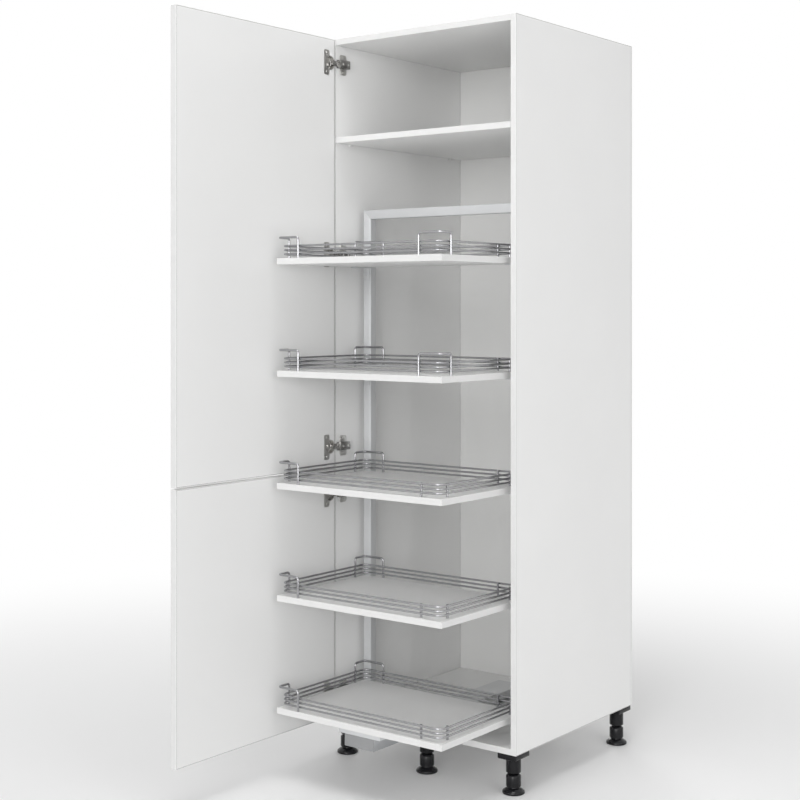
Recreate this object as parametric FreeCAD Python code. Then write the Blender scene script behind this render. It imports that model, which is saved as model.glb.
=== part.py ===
import FreeCAD, Part
import math
import os

# Pull-out pantry cabinet, in millimetres. X runs to the right, Y to the back, Z up.
# The origin is on the floor, under the middle of the carcass's front edge.
# Everything is drawn shut, then opened to the rest pose: doors square to the carcass, trays part-way out.

# Rest pose
rest_opening = 90.0
rest_pull = 289.0

# Carcass boards
carcass_width = 600.0
carcass_depth = 600.0
carcass_height = 1850.0
board = 16.0
back_thickness = 4.0

# Dowels in the four carcass corners
dowel_diameter = 8.0
dowel_length = 30.0
dowel_in_side = 10.0
dowel_end_gap = 1.0
dowel_fit = 0.2
dowel_from_edge = 70.0

# Fixed shelf near the top, on four supports
upper_compartment = 252.0
shelf_thickness = 16.0
shelf_side_gap = 0.5
shelf_back_gap = 1.0
support_diameter = 5.0
support_in_side = 9.0
support_fit = 0.2
support_tab_reach = 9.0
support_tab_width = 14.0
support_from_edge = 60.0

# Doors
door_thickness = 19.0
door_reveal = 1.5
door_split_gap = 3.0
door_standoff = 3.0
lower_door_height = 676.0

# Concealed hinges, five alike
hinge_inset_end = 66.0
hinge_inset_above_split = 57.0
hinge_inset_below_split = 68.0
pivot_from_edge = 7.0
pivot_depth = 9.5
cup_bore = 35.0
cup_from_edge = 3.5
cup_depth = 13.5
cup_fit = 0.1
cup_wall = 0.6
cup_floor = 1.0
flange_thickness = 0.8
flange_rim = 2.0
wing_height = 68.0
wing_width = 22.0
wing_offset = 14.0
wing_corner = 5.0
pin_diameter = 2.5
pin_running_gap = 0.05
pin_end_gap = 0.1
eye_wall = 0.95
link_width = 7.0
link_thickness = 1.8
link_reach = 12.5
link_drop = 2.0
neck_thickness = 2.0
neck_width = 14.0
arm_height = 22.0
arm_projection = 16.0
arm_wall = 1.5
arm_front = 2.0
arm_back = 44.0
arm_nose = 8.0
arm_foot_gap = 0.5
plate_setback = 30.0
plate_width = 28.0
plate_height = 55.0
plate_thickness = 2.5
plate_corner = 4.0
hump_height = 16.0
hump_length = 24.0

# Feet with a corner plate, a socket sleeve and a turning foot
foot_height = 105.0
foot_from_side = 30.0
foot_from_front = 35.0
foot_from_back = 35.0
foot_plate_width = 54.0
foot_plate_depth = 70.0
foot_plate_thickness = 14.0
foot_plate_corner = 4.0
sleeve_diameter = 38.0
socket_sleeve = 38.0
socket_gap = 4.0
foot_neck = 3.0
foot_neck_diameter = 30.0
base_diameter = 57.0
base_height = 15.0
base_rim = 6.0
base_edge = 2.0
sleeve_chamfer = 5.0
spindle_diameter = 14.0
spindle_running_gap = 0.3
spindle_length = 30.0

# Runner on the cabinet floor: fixed rail, middle rail and carriage, nested
tray_setback = 25.0
carriage_setback = 14.0
carriage_width = 92.0
carriage_height = 30.0
carriage_above_floor = 7.0
carriage_lip = 8.0
runner_wall = 2.0
runner_gap = 0.4
runner_back_gap = 156.0
middle_lip = 16.0
rail_neck_half = 22.0
rail_foot_half = 35.0
rail_front_step = 13.0
middle_front_step = 7.0
end_cap_thickness = 3.0
carrier_width = 130.0
carrier_thickness = 15.0
carrier_wall = 2.0

# Frame of square tube behind the trays
tube = 25.0
tube_wall = 1.5
tube_corner = 1.2
frame_overhang = 2.5
frame_shelf_gap = 180.0
frame_rise = 142.0
bracket_width = 20.0
bracket_reach = 60.0
bracket_drop = 36.0
bracket_thickness = 3.0

# Trays: a board, three rail wires, raised guards over some corners and short posts at the others
tray_count = 5
tray_side_clearance = 22.5
tray_depth = 361.0
tray_board = 16.0
wire_count = 3
wire_diameter = 5.0
wire_pitch = 10.5
wire_corner = 20.0
guard_diameter = 6.0
guard_height = 56.0
guard_leg_across = 70.0
guard_leg_along = 44.0
guard_bend = 7.0
guard_corner = 9.0
guard_edge_gap = 0.2
right_guard_trays = 2
weld_gap = 0.1

# Facets: round pieces that repeat are drawn with flat sides, and bends with short straight steps
rod_sides = 6
peg_sides = 8
turned_sides = 16
corner_steps = 3
bend_steps = 1

# Levels and faces that several pieces share
half_width = carcass_width / 2
inner_half = half_width - board
inner_depth = carcass_depth - back_thickness
base_z = foot_height
top_z = base_z + carcass_height
floor_z = base_z + board
ceiling_z = top_z - board
shelf_top_z = ceiling_z - upper_compartment
shelf_z = shelf_top_z - shelf_thickness
tray_width = 2 * (inner_half - tray_side_clearance)
tray_back = tray_setback + tray_depth
frame_half = tray_width / 2 + frame_overhang
frame_top_z = shelf_z - frame_shelf_gap
carriage_z = floor_z + carriage_above_floor
carriage_top_z = carriage_z + carriage_height
carrier_top_z = carriage_top_z + carrier_thickness
first_tray_z = carrier_top_z + tray_board
last_tray_z = frame_top_z - frame_rise
tray_pitch = (last_tray_z - first_tray_z) / (tray_count - 1)
tray_tops = [first_tray_z + tray_pitch * step for step in range(tray_count)]
carriage_front = tray_setback + carriage_setback
runner_back = inner_depth - runner_back_gap

# Doors and hinge pivots, shut
door_edge = -(half_width - door_reveal)
door_far_edge = half_width - door_reveal
door_inner = -door_standoff
door_outer = door_inner - door_thickness
lower_door_z = base_z + door_reveal
lower_door_top_z = lower_door_z + lower_door_height
upper_door_z = lower_door_top_z + door_split_gap
upper_door_top_z = top_z - door_reveal
pivot_x = door_edge + pivot_from_edge
pivot_y = door_inner - pivot_depth
cup_x = door_edge + cup_from_edge + cup_bore / 2
lower_hinges = [lower_door_z + hinge_inset_end, lower_door_top_z - hinge_inset_below_split]
upper_hinge_low = upper_door_z + hinge_inset_above_split
upper_hinge_high = upper_door_top_z - hinge_inset_end
upper_hinges = [upper_hinge_low, (upper_hinge_low + upper_hinge_high) / 2, upper_hinge_high]

foot_left = -half_width + foot_from_side
foot_right = half_width - foot_from_side
foot_back = carcass_depth - foot_from_back
foot_places = {
    "left_front": (foot_left, foot_from_front),
    "middle_front": (0.0, foot_from_front),
    "right_front": (foot_right, foot_from_front),
    "left_back": (foot_left, foot_back),
    "right_back": (foot_right, foot_back),
}

right = FreeCAD.Vector(1, 0, 0)
back = FreeCAD.Vector(0, 1, 0)
up = FreeCAD.Vector(0, 0, 1)


def point(x, y, z):
    return FreeCAD.Vector(x, y, z)


def block(x0, x1, y0, y1, z0, z1):
    return Part.makeBox(x1 - x0, y1 - y0, z1 - z0, point(x0, y0, z0))


def rod(radius, start, end):
    run = end - start
    return Part.makeCylinder(radius, run.Length, start, run)


def joined(shapes):
    return shapes[0].multiFuse(shapes[1:]).removeSplitter()


def prism(points, run):
    return Part.Face(Part.makePolygon(points + points[:1])).extrude(run)


def clipped_corners(u0, u1, v0, v1, cut):
    # A rectangle with its corners cut off, as pairs
    return [
        (u0 + cut, v0),
        (u1 - cut, v0),
        (u1, v0 + cut),
        (u1, v1 - cut),
        (u1 - cut, v1),
        (u0 + cut, v1),
        (u0, v1 - cut),
        (u0, v0 + cut),
    ]


def same_area_radius(diameter, sides):
    # Corner radius of a regular outline with the area of the circle that it stands for
    turn = 2 * math.pi / sides
    return diameter / 2 / math.sqrt(math.sin(turn) / turn)


def flat_radius(diameter, sides):
    return same_area_radius(diameter, sides) * math.cos(math.pi / sides)


def ring(centre, side, lift, radius, sides):
    # Corners of a regular outline, with a flat towards the side direction
    turn = 2 * math.pi / sides
    angles = [turn * (step + 0.5) for step in range(sides)]
    return [centre + (side * math.cos(angle) + lift * math.sin(angle)) * radius for angle in angles]


def skinned(rings, closed):
    # Flat faces between one ring of corners and the next, and over the two ends of an open run
    faces = []
    for near, far in zip(rings, rings[1:]):
        for index in range(len(near)):
            after = (index + 1) % len(near)
            corners = [near[index], near[after], far[after], far[index], near[index]]
            faces.append(Part.Face(Part.makePolygon(corners)))
    if not closed:
        for end in (rings[0], rings[-1]):
            faces.append(Part.Face(Part.makePolygon(end + end[:1])))
    shell = Part.makeShell(faces)
    shell.sewShape()
    solid = Part.makeSolid(shell)
    if solid.Volume < 0:
        solid.reverse()
    return solid


def swept(points, side, radius, sides, closed):
    # A faceted rod along straight runs, mitred where they meet; a closed one starts inside a run
    first_run = (points[1] - points[0]).normalize()
    current = ring(points[0], side, first_run.cross(side), radius, sides)
    rings = [current]
    for index in range(1, len(points)):
        run = (points[index] - points[index - 1]).normalize()
        normal = run
        if index + 1 < len(points):
            normal = (run + (points[index + 1] - points[index]).normalize()).normalize()
        reach = [(points[index] - corner).dot(normal) / run.dot(normal) for corner in current]
        current = [corner + run * length for corner, length in zip(current, reach)]
        rings.append(current)
    return skinned(rings, closed)


def facet_rod(radius, start, end, sides):
    run = (end - start).normalize()
    side = right if abs(run.dot(right)) < 0.5 else up
    return swept([start, end], side, radius, sides, False)


def bend_points(before, corner, after, radius, steps):
    # Points along the arc that rounds a corner
    inward = (before - corner).normalize()
    outward = (after - corner).normalize()
    half_angle = inward.getAngle(outward) / 2
    centre = corner + (inward + outward).normalize() * (radius / math.sin(half_angle))
    start = corner + inward * (radius / math.tan(half_angle)) - centre
    axis = inward.cross(outward)
    turn = -math.degrees(math.pi - 2 * half_angle)
    arc = []
    for step in range(steps + 1):
        spoke = FreeCAD.Rotation(axis, turn * step / steps).multVec(start)
        arc.append(centre + spoke)
    return arc


def turned(profile, sides):
    # Radius and height pairs, spun about the Z axis with flat sides
    rings = [ring(point(0, 0, height), right, back, radius, sides) for radius, height in profile]
    return skinned(rings, False)


# Carcass

def dowel(side, y, z, slack, end_slack):
    # Lies along X, across the joint between a side and the top or the bottom
    outer = inner_half + dowel_in_side
    start = point(side * (outer + end_slack), y, z)
    end = point(side * (outer - dowel_length - end_slack), y, z)
    return facet_rod(dowel_diameter / 2 + slack, start, end, peg_sides)


def dowels(slack, end_slack):
    rows = [dowel_from_edge, inner_depth - dowel_from_edge]
    levels = [base_z + board / 2, top_z - board / 2]
    return [dowel(side, y, z, slack, end_slack) for side in (-1, 1) for y in rows for z in levels]


def support_rows():
    return [support_from_edge, inner_depth - support_from_edge]


def support_peg(side, y, slack):
    z = shelf_z - support_diameter / 2
    start = point(side * (inner_half + support_in_side + slack), y, z)
    return facet_rod(support_diameter / 2 + slack, start, point(side * inner_half, y, z), peg_sides)


def shelf_support(side, y):
    # A peg in the side panel with a flat tab under the shelf
    near = side * inner_half
    far = side * (inner_half - support_tab_reach)
    tab = block(min(near, far), max(near, far), y - support_tab_width / 2, y + support_tab_width / 2,
                shelf_z - support_diameter, shelf_z)
    return joined([tab, support_peg(side, y, 0)])


def side_panel(side):
    panel = block(min(side * inner_half, side * half_width), max(side * inner_half, side * half_width),
                  0, inner_depth, base_z, top_z)
    pegs = [support_peg(side, y, support_fit) for y in support_rows()]
    return panel.cut(dowels(dowel_fit, dowel_end_gap) + pegs)


def cross_panel(z):
    panel = block(-inner_half, inner_half, 0, inner_depth, z, z + board)
    return panel.cut(dowels(dowel_fit, dowel_end_gap))


def back_panel():
    return block(-half_width, half_width, inner_depth, carcass_depth, base_z, top_z)


def shelf():
    half = inner_half - shelf_side_gap
    return block(-half, half, 0, inner_depth - shelf_back_gap, shelf_z, shelf_top_z)


# Doors and hinges, shut

def swung(shape):
    turn = shape.copy()
    turn.rotate(point(pivot_x, pivot_y, 0), up, -rest_opening)
    return turn


def door(z0, z1, hinge_levels):
    panel = block(door_edge, door_far_edge, door_outer, door_inner, z0, z1)
    return panel.cut([cup_barrel(z, cup_bore / 2, door_inner) for z in hinge_levels])


def cup_barrel(z, radius, top_y, rise=0.0):
    start = point(cup_x, door_inner - cup_depth + rise, z)
    return facet_rod(radius, start, point(cup_x, top_y, z), turned_sides)


def hinge_cup(z):
    # A cup let into the door, with a rim and two wings on the door's inner face
    face_y = door_inner + flange_thickness
    barrel = cup_barrel(z, cup_bore / 2 - cup_fit, door_inner)
    rim = cup_barrel(z, cup_bore / 2 + flange_rim, face_y, cup_depth)
    wing_x = cup_x + wing_offset
    outline = clipped_corners(wing_x - wing_width / 2, wing_x + wing_width / 2,
                              z - wing_height / 2, z + wing_height / 2, wing_corner)
    wings = prism([point(x, door_inner, level) for x, level in outline], back * flange_thickness)
    hollow = cup_barrel(z, cup_bore / 2 - cup_fit - cup_wall, face_y, cup_floor)
    return joined([barrel, rim, wings]).cut(hollow)


def hinge_pin(z):
    # Spans the cup from wall to wall
    wall = flat_of_barrel(cup_bore / 2 - cup_fit - cup_wall)
    reach = math.sqrt(wall ** 2 - (cup_x - pivot_x + pin_diameter / 2) ** 2) - pin_end_gap
    return rod(pin_diameter / 2, point(pivot_x, pivot_y, z - reach), point(pivot_x, pivot_y, z + reach))


def flat_of_barrel(radius):
    return radius * math.cos(math.pi / turned_sides)


def hinge_arm(z):
    # A channel over the mounting plate, whose nose reaches round the door's edge into the cup
    low_x = -inner_half + plate_thickness + arm_foot_gap
    high_x = -inner_half + arm_projection
    channel = block(low_x, high_x, arm_front, arm_back, z - arm_height / 2, z + arm_height / 2)
    hollow = block(low_x, high_x - arm_wall, arm_front + arm_nose, arm_back,
                   z - arm_height / 2 + arm_wall, z + arm_height / 2 - arm_wall)
    elbow_x = pivot_x + link_reach
    elbow_y = pivot_y - link_drop
    slope = link_drop / link_reach
    half_thick = link_thickness / 2
    inner_x = elbow_x - neck_thickness / 2
    outline = [
        (pivot_x, pivot_y + half_thick),
        (inner_x, pivot_y + half_thick - slope * (inner_x - pivot_x)),
        (inner_x, arm_front + arm_nose),
        (elbow_x + neck_thickness / 2, arm_front + arm_nose),
        (elbow_x + neck_thickness / 2, elbow_y - half_thick),
        (elbow_x, elbow_y - half_thick),
        (pivot_x, pivot_y - half_thick),
    ]
    low = point(pivot_x, pivot_y, z - link_width / 2)
    high = point(pivot_x, pivot_y, z + link_width / 2)
    link = prism([point(x, y, low.z) for x, y in outline], high - low)
    neck = block(inner_x, elbow_x + neck_thickness / 2, elbow_y - half_thick, arm_front + arm_nose,
                 z - neck_width / 2, z + neck_width / 2)
    eye = facet_rod(pin_diameter / 2 + eye_wall, low, high, peg_sides)
    bore = rod(pin_diameter / 2 + pin_running_gap, low, high)
    return joined([channel.cut(hollow), link, neck, eye]).cut(bore)


def hinge_plate(z):
    # A cross-shaped plate on the side panel, with a raised seat for the arm
    outline = clipped_corners(plate_setback - plate_width / 2, plate_setback + plate_width / 2,
                              z - plate_height / 2, z + plate_height / 2, plate_corner)
    wings = prism([point(-inner_half, y, level) for y, level in outline], right * plate_thickness)
    hump = block(-inner_half, -inner_half + arm_projection - arm_wall, plate_setback - hump_length / 2,
                 plate_setback + hump_length / 2, z - hump_height / 2, z + hump_height / 2)
    return joined([wings, hump])


# Feet

def foot_socket(x, y):
    # The plate reaches the carcass's nearest corner, and the sleeve hangs under it
    low_x = min(max(x - foot_plate_width / 2, -half_width), half_width - foot_plate_width)
    low_y = min(max(y - foot_plate_depth / 2, 0), carcass_depth - foot_plate_depth)
    plate_z = base_z - foot_plate_thickness
    outline = clipped_corners(low_x, low_x + foot_plate_width,
                              low_y, low_y + foot_plate_depth, foot_plate_corner)
    plate = prism([point(u, v, plate_z) for u, v in outline], up * foot_plate_thickness)
    sleeve_z = plate_z - socket_sleeve
    sleeve = facet_rod(sleeve_diameter / 2, point(x, y, sleeve_z), point(x, y, plate_z), turned_sides)
    bore_top = sleeve_z - socket_gap + spindle_length + spindle_running_gap
    bore = rod(spindle_diameter / 2 + spindle_running_gap, point(x, y, sleeve_z), point(x, y, bore_top))
    return joined([plate, sleeve]).cut(bore)


def foot(x, y):
    shoulder_z = base_z - foot_plate_thickness - socket_sleeve - socket_gap
    sleeve_z = base_height + foot_neck
    profile = [
        (base_diameter / 2 - base_edge, 0),
        (base_diameter / 2, base_edge),
        (base_diameter / 2, base_rim),
        (foot_neck_diameter / 2, base_height),
        (foot_neck_diameter / 2, sleeve_z),
        (sleeve_diameter / 2, sleeve_z),
        (sleeve_diameter / 2, shoulder_z - sleeve_chamfer),
        (sleeve_diameter / 2 - sleeve_chamfer, shoulder_z),
    ]
    spindle = rod(spindle_diameter / 2, point(0, 0, shoulder_z), point(0, 0, shoulder_z + spindle_length))
    body = joined([turned(profile, turned_sides), spindle])
    body.translate(point(x, y, 0))
    return body


# Runner, shut

def pulled(shape, share=1.0):
    moved = shape.copy()
    moved.translate(point(0, -rest_pull * share, 0))
    return moved


def section(half_outline, y0, y1):
    # Half an outline of X and Z pairs, mirrored and drawn along Y
    mirrored = [(-x, z) for x, z in reversed(half_outline)]
    return prism([point(x, y0, z) for x, z in half_outline + mirrored], back * (y1 - y0))


def lipped_channel(half, low, high, lip):
    wall = runner_wall
    return [
        (0, high),
        (half, high),
        (half, low),
        (half - wall - lip, low),
        (half - wall - lip, low + wall),
        (half - wall, low + wall),
        (half - wall, high - wall),
        (0, high - wall),
    ]


def carriage_half():
    return carriage_width / 2


def middle_half():
    return carriage_half() - runner_wall - runner_gap


def rail_half():
    return middle_half() - runner_wall - runner_gap


def runner_carriage():
    outline = lipped_channel(carriage_half(), carriage_z, carriage_top_z, carriage_lip)
    return section(outline, carriage_front + end_cap_thickness, runner_back)


def runner_front_cap():
    return block(-carriage_half(), carriage_half(), carriage_front, carriage_front + end_cap_thickness,
                 carriage_z, carriage_top_z)


def runner_middle_rail():
    low = carriage_z + runner_wall + runner_gap
    high = carriage_top_z - runner_wall - runner_gap
    outline = lipped_channel(middle_half(), low, high, middle_lip)
    return section(outline, carriage_front + middle_front_step, runner_back)


def runner_fixed_rail():
    # Feet on the cabinet floor, a neck between the middle rail's lips and a wide hollow head
    wall = runner_wall
    low = carriage_z + 2 * (runner_wall + runner_gap)
    high = carriage_top_z - 2 * (runner_wall + runner_gap)
    head = rail_half()
    outline = [
        (0, high),
        (head, high),
        (head, low),
        (rail_neck_half, low),
        (rail_neck_half, floor_z + wall),
        (rail_foot_half, floor_z + wall),
        (rail_foot_half, floor_z),
        (rail_neck_half - wall, floor_z),
        (rail_neck_half - wall, low + wall),
        (head - wall, low + wall),
        (head - wall, high - wall),
        (0, high - wall),
    ]
    return section(outline, carriage_front + rail_front_step, runner_back)


def carrier_plate():
    # A flat hollow profile on the carriage, closed at the front, that takes the lowest tray
    half = carrier_width / 2
    outer = block(-half, half, carriage_front, tray_back, carriage_top_z, carrier_top_z)
    hollow = block(-half + carrier_wall, half - carrier_wall, carriage_front + carrier_wall, tray_back,
                   carriage_top_z + carrier_wall, carrier_top_z - carrier_wall)
    return outer.cut(hollow)


# Frame, shut

def square_tube(length):
    outline = clipped_corners(0, tube, 0, tube, tube_corner)
    bore = block(tube_wall, tube - tube_wall, tube_wall, tube - tube_wall, 0, length)
    return prism([point(u, v, 0) for u, v in outline], up * length).cut(bore)


def mitred(tube_shape, length):
    # Cuts both ends at 45 degrees, long side at X = 0
    low_corner = [point(0, 0, 0), point(tube, 0, tube), point(tube, 0, 0)]
    high_corner = [point(0, 0, length), point(tube, 0, length - tube), point(tube, 0, length)]
    return tube_shape.cut([prism(low_corner, back * tube), prism(high_corner, back * tube)])


def frame_post(side):
    length = frame_top_z - carriage_top_z
    post = mitred(square_tube(length), length)
    post.translate(point(-frame_half, tray_back, carriage_top_z))
    return post if side < 0 else post.mirror(point(0, 0, 0), right)


def frame_bar(at_top):
    length = 2 * frame_half
    bar = mitred(square_tube(length), length)
    bar.rotate(point(0, 0, 0), back, 90)
    bar.translate(point(-frame_half, tray_back, frame_top_z))
    if at_top:
        return bar
    middle_z = (frame_top_z + carriage_top_z) / 2
    return bar.mirror(point(0, 0, middle_z), up)


def tray_bracket(side, tray_top):
    # An angle on the front of a post, with its flat leg under the board
    under = tray_top - tray_board
    outline = [
        (tray_back, under),
        (tray_back, under - bracket_drop),
        (tray_back - bracket_thickness, under - bracket_drop),
        (tray_back - bracket_thickness, under - bracket_thickness),
        (tray_back - bracket_reach, under - bracket_thickness),
        (tray_back - bracket_reach, under),
    ]
    outer_x = tray_width / 2
    x0 = outer_x - bracket_width if side > 0 else -outer_x
    return prism([point(x0, y, z) for y, z in outline], right * bracket_width)


# Trays, shut

def tray_panel(tray_top):
    return block(-tray_width / 2, tray_width / 2, tray_setback, tray_back, tray_top - tray_board, tray_top)


def guard_inset():
    return guard_edge_gap + same_area_radius(guard_diameter, rod_sides)


def guard_to_wire():
    # Between the middle lines of a guard or post and of the wires that it holds
    return flat_radius(guard_diameter, rod_sides) + weld_gap + flat_radius(wire_diameter, rod_sides)


def wire_inset():
    return guard_inset() + guard_to_wire()


def tray_wire(tray_top, level):
    # One closed loop round the board, inside the guards and outside the posts
    inset = wire_inset()
    half = tray_width / 2 - inset
    front = tray_setback + inset
    rear = tray_back - inset
    z = tray_top + wire_pitch * level
    corners = [point(half, front, z), point(half, rear, z), point(-half, rear, z), point(-half, front, z)]
    seam = point(0, front, z)
    path = [seam]
    for index, corner in enumerate(corners):
        path += bend_points(corners[index - 1], corner, corners[(index + 1) % 4], wire_corner, corner_steps)
    return swept(path + [seam], back, same_area_radius(wire_diameter, rod_sides), rod_sides, True)


def corner_lines(inset, side, at_front):
    # The two sides of a corner at an inset, and where a leg stands along each of them
    x = side * (tray_width / 2 - inset)
    leg_x = side * (tray_width / 2 - guard_leg_across)
    y = tray_setback + inset if at_front else tray_back - inset
    leg_y = tray_setback + guard_leg_along if at_front else tray_back - guard_leg_along
    return x, leg_x, y, leg_y


def corner_guard(tray_top, side, at_front):
    # Two legs on the board's edge, outside the wires, joined by a rod that rounds the corner above them
    x, leg_x, y, leg_y = corner_lines(guard_inset(), side, at_front)
    z = tray_top + guard_height - guard_diameter / 2
    foot_across = point(leg_x, y, tray_top)
    over_across = point(leg_x, y, z)
    corner = point(x, y, z)
    over_along = point(x, leg_y, z)
    foot_along = point(x, leg_y, tray_top)
    path = [foot_across]
    path += bend_points(foot_across, over_across, corner, guard_bend, bend_steps)
    path += bend_points(over_across, corner, over_along, guard_corner, corner_steps)
    path += bend_points(corner, over_along, foot_along, guard_bend, bend_steps)
    path.append(foot_along)
    return swept(path, back, same_area_radius(guard_diameter, rod_sides), rod_sides, False)


def corner_posts(tray_top, side, at_front):
    # Two posts of the same rod, inside the wires and as high as they are, where a corner has no guard
    x, leg_x, y, leg_y = corner_lines(wire_inset() + guard_to_wire(), side, at_front)
    rise = up * (wire_pitch * wire_count + wire_diameter / 2)
    radius = same_area_radius(guard_diameter, rod_sides)
    across = point(leg_x, y, tray_top)
    along = point(x, leg_y, tray_top)
    return [
        swept([across, across + rise], back, radius, rod_sides, False),
        swept([along, along + rise], right, radius, rod_sides, False),
    ]


def tray_guards(number, tray_top):
    # Guards on the left, and at the front on the right of the upper trays
    pieces = [corner_guard(tray_top, -1, True), corner_guard(tray_top, -1, False)]
    if number > tray_count - right_guard_trays:
        pieces.append(corner_guard(tray_top, 1, True))
    else:
        pieces += corner_posts(tray_top, 1, True)
    return pieces + corner_posts(tray_top, 1, False)


# Nodes

def build():
    nodes = {
        "left_side": [side_panel(-1)],
        "right_side": [side_panel(1)],
        "top_panel": [cross_panel(ceiling_z)],
        "bottom_panel": [cross_panel(base_z)],
        "back_panel": [back_panel()],
        "carcass_dowels": dowels(0, 0),
        "shelf": [shelf()],
        "shelf_supports": [shelf_support(side, y) for side in (-1, 1) for y in support_rows()],
        "hinge_plates": [hinge_plate(z) for z in lower_hinges + upper_hinges],
        "hinge_arms": [hinge_arm(z) for z in lower_hinges + upper_hinges],
        "foot_sockets": [foot_socket(x, y) for x, y in foot_places.values()],
        "runner_fixed_rail": [runner_fixed_rail()],
        "upper_door": [swung(door(upper_door_z, upper_door_top_z, upper_hinges))],
        "upper_hinge_cups": [swung(hinge_cup(z)) for z in upper_hinges],
        "upper_hinge_pins": [swung(hinge_pin(z)) for z in upper_hinges],
        "lower_door": [swung(door(lower_door_z, lower_door_top_z, lower_hinges))],
        "lower_hinge_cups": [swung(hinge_cup(z)) for z in lower_hinges],
        "lower_hinge_pins": [swung(hinge_pin(z)) for z in lower_hinges],
        "runner_middle_rail": [pulled(runner_middle_rail(), 0.5)],
        "runner_carriage": [pulled(runner_carriage())],
        "runner_front_cap": [pulled(runner_front_cap())],
        "carrier_plate": [pulled(carrier_plate())],
        "frame_post_left": [pulled(frame_post(-1))],
        "frame_post_right": [pulled(frame_post(1))],
        "frame_top_bar": [pulled(frame_bar(True))],
        "frame_bottom_bar": [pulled(frame_bar(False))],
        "tray_brackets": [pulled(tray_bracket(side, top)) for top in tray_tops[1:] for side in (-1, 1)],
    }
    for number, top in enumerate(tray_tops, start=1):
        wires = [tray_wire(top, level) for level in range(1, wire_count + 1)]
        nodes["tray_%d_board" % number] = [pulled(tray_panel(top))]
        nodes["tray_%d_rails" % number] = [pulled(wire) for wire in wires]
        nodes["tray_%d_guards" % number] = [pulled(guard) for guard in tray_guards(number, top)]
    for name, (x, y) in foot_places.items():
        nodes["foot_" + name] = [foot(x, y)]
    return nodes


os.makedirs("parts", exist_ok=True)
for name, shapes in build().items():
    shape = shapes[0] if len(shapes) == 1 else Part.makeCompound(shapes)
    shape.exportStep("parts/" + name + ".step")
    print(name, len(shape.Solids), round(shape.Volume), shape.isValid())
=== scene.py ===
import math
import bmesh
import bpy
from mathutils import Matrix, Vector


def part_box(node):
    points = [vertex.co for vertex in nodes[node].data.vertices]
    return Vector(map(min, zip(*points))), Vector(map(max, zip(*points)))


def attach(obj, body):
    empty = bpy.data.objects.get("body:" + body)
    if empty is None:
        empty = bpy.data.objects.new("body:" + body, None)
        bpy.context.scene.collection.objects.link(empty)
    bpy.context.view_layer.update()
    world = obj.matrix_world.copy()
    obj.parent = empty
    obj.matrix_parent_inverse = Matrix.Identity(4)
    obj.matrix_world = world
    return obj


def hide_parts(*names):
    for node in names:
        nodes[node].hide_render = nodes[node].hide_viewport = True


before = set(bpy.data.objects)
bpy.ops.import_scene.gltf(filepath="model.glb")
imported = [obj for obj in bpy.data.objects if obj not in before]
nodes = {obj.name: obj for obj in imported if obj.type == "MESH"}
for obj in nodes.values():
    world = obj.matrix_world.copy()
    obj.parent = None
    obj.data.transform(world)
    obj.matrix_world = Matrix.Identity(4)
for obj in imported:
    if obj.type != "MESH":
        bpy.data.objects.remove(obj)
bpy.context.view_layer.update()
right, back, up = Vector((1, 0, 0)), Vector((0, 1, 0)), Vector((0, 0, 1))
mm = 0.001
print("frame loaded:", len(nodes), "nodes")


class Shade:  # wraps a shader socket, so that sums of masks are written as sums
    def __init__(self, tree, socket=None):
        self.tree = tree
        self.socket = socket

    def feed(self, slot, value):
        if isinstance(value, Shade):
            self.tree.links.new(value.socket, slot)
        else:
            slot.default_value = value

    def node(self, kind, settings=None, values=None, out=0):
        made = self.tree.nodes.new(kind)
        for key, value in (settings or {}).items():
            setattr(made, key, value)
        for key, value in (values or {}).items():
            self.feed(made.inputs[key], value)
        return Shade(self.tree, made.outputs[out])

    def maths(self, operation, first, second):
        return self.node("ShaderNodeMath", {"operation": operation}, {0: first, 1: second})

    def __add__(self, other):
        return self.maths("ADD", self, other)

    def __radd__(self, other):
        return self.maths("ADD", other, self)

    def __sub__(self, other):
        return self.maths("SUBTRACT", self, other)

    def __rsub__(self, other):
        return self.maths("SUBTRACT", other, self)

    def __mul__(self, other):
        return self.maths("MULTIPLY", self, other)

    def __rmul__(self, other):
        return self.maths("MULTIPLY", other, self)

    def tint(self, look):  # a colour between dark and light, by this mask
        colors = {0: self, 6: (*look["dark"], 1), 7: (*look["light"], 1)}  # a Mix node's colours are 6 and 7
        return self.node("ShaderNodeMix", {"data_type": "RGBA"}, colors, out=2)

    def noise(self, scale, detail=3.0, rough=0.5, stretch=(1, 1, 1)):
        coords = self.node("ShaderNodeMapping", values={"Vector": self, "Scale": stretch})
        return coords.node("ShaderNodeTexNoise", values={
            "Vector": coords, "Scale": scale, "Detail": detail, "Roughness": rough})

    def bump(self, strength, depth):
        return self.node("ShaderNodeBump", values={"Height": self, "Strength": strength, "Distance": depth})


def newFinish(name, metallic=0.0, coat=0.0, coatRoughness=0.1, specular=0.5):
    material = bpy.data.materials.new(name)
    material.use_nodes = True
    tree = material.node_tree
    shader = tree.nodes["Principled BSDF"]
    shader.inputs["Metallic"].default_value = metallic
    shader.inputs["Coat Weight"].default_value = coat
    shader.inputs["Coat Roughness"].default_value = coatRoughness
    shader.inputs["Specular IOR Level"].default_value = specular
    coords = Shade(tree).node("ShaderNodeTexCoord", out="Object")

    def dress(color, roughness, normal):
        for key, value in (("Base Color", color), ("Roughness", roughness), ("Normal", normal)):
            coords.feed(shader.inputs[key], value)
        return material

    return coords, dress


# Pressed white board with a fine pearl grain
pearlLook = {"detail": 2.0, "rough": 0.6, "cloudShare": 0.7, "roughnessSpread": 0.1, "depth": 0.0004}


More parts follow.
